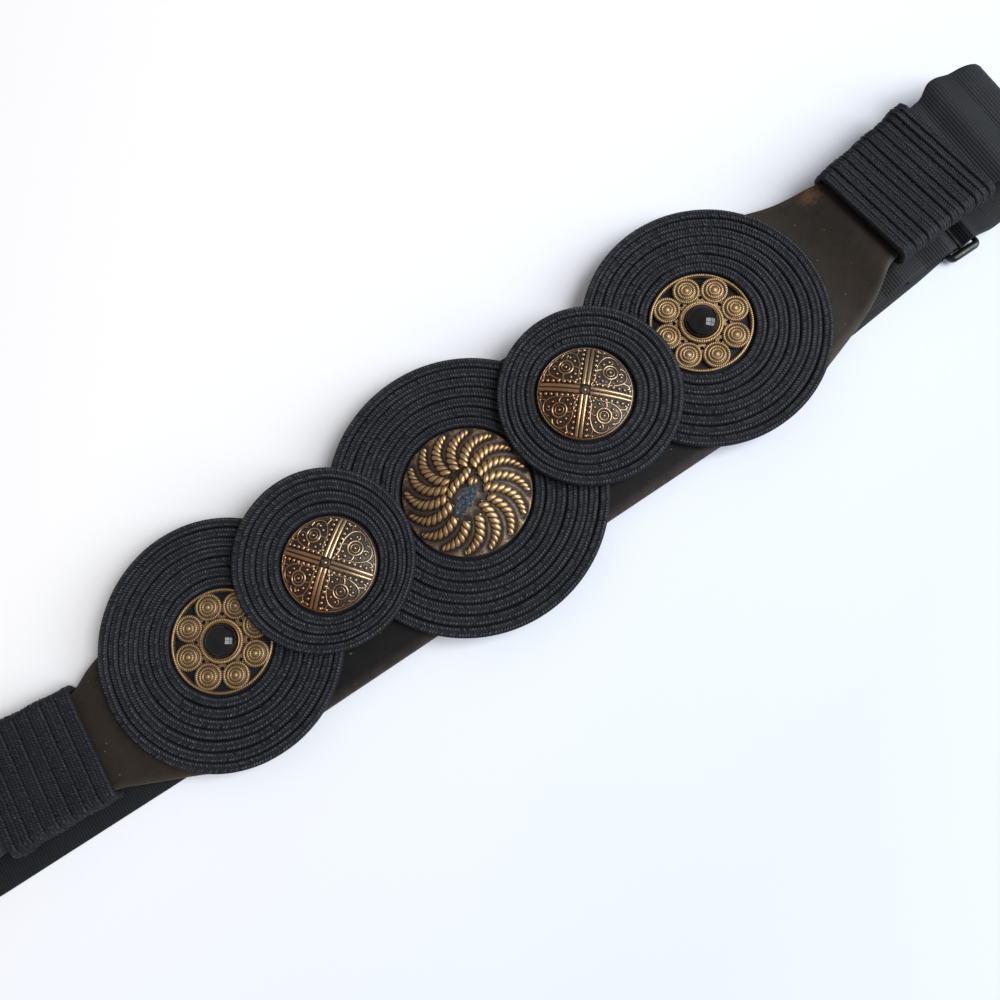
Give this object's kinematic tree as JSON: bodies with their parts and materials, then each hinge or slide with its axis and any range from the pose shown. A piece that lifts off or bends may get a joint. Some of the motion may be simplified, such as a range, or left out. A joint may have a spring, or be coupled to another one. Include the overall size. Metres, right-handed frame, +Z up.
{
  "type": "medallion belt",
  "caption": "Waist belt lying fastened and flat: leather front with coiled braid discs and brass medallions, braid-wound ends, ribbed elastic back and a slider.",
  "frame": {"origin": "middle of the belt's footprint on the surface it lies on; the centre disc's axis passes through it", "axes": "+X along the belt towards the end with the slider, +Y across the belt, +Z up out of the medallions"},
  "size_m": [0.4087, 0.0848, 0.0169],
  "materials": {
    "leather": "smooth dark olive-brown leather, worn brown at the edges",
    "braid": "black flat braid of fine chevron stitches, coiled or wound edge to edge",
    "webbing": "black elastic webbing with fine ribs across it",
    "antique_brass": "antique brass, dark in the recesses and bright on the ridges",
    "dark_brass": "dark bronzed brass with worn high points",
    "gunmetal": "dark bronze plated wire, smooth",
    "black_stone": "polished black stone or glass cabochon"
  },
  "bodies": {
    "root": {"leather_panel": "leather", "strap_left": "webbing", "strap_right": "webbing", "wrap_left": "braid", "wrap_right": "braid", "disc_left": "braid", "disc_small_left": "braid", "disc_centre": "braid", "disc_small_right": "braid", "disc_right": "braid", "filigree_left": "antique_brass", "filigree_right": "antique_brass", "cabochon_left": "black_stone", "cabochon_right": "black_stone", "medallion_centre": "antique_brass", "medallion_small_left": "dark_brass", "medallion_small_right": "dark_brass", "slider": "gunmetal"}
  },
  "joints": []
}
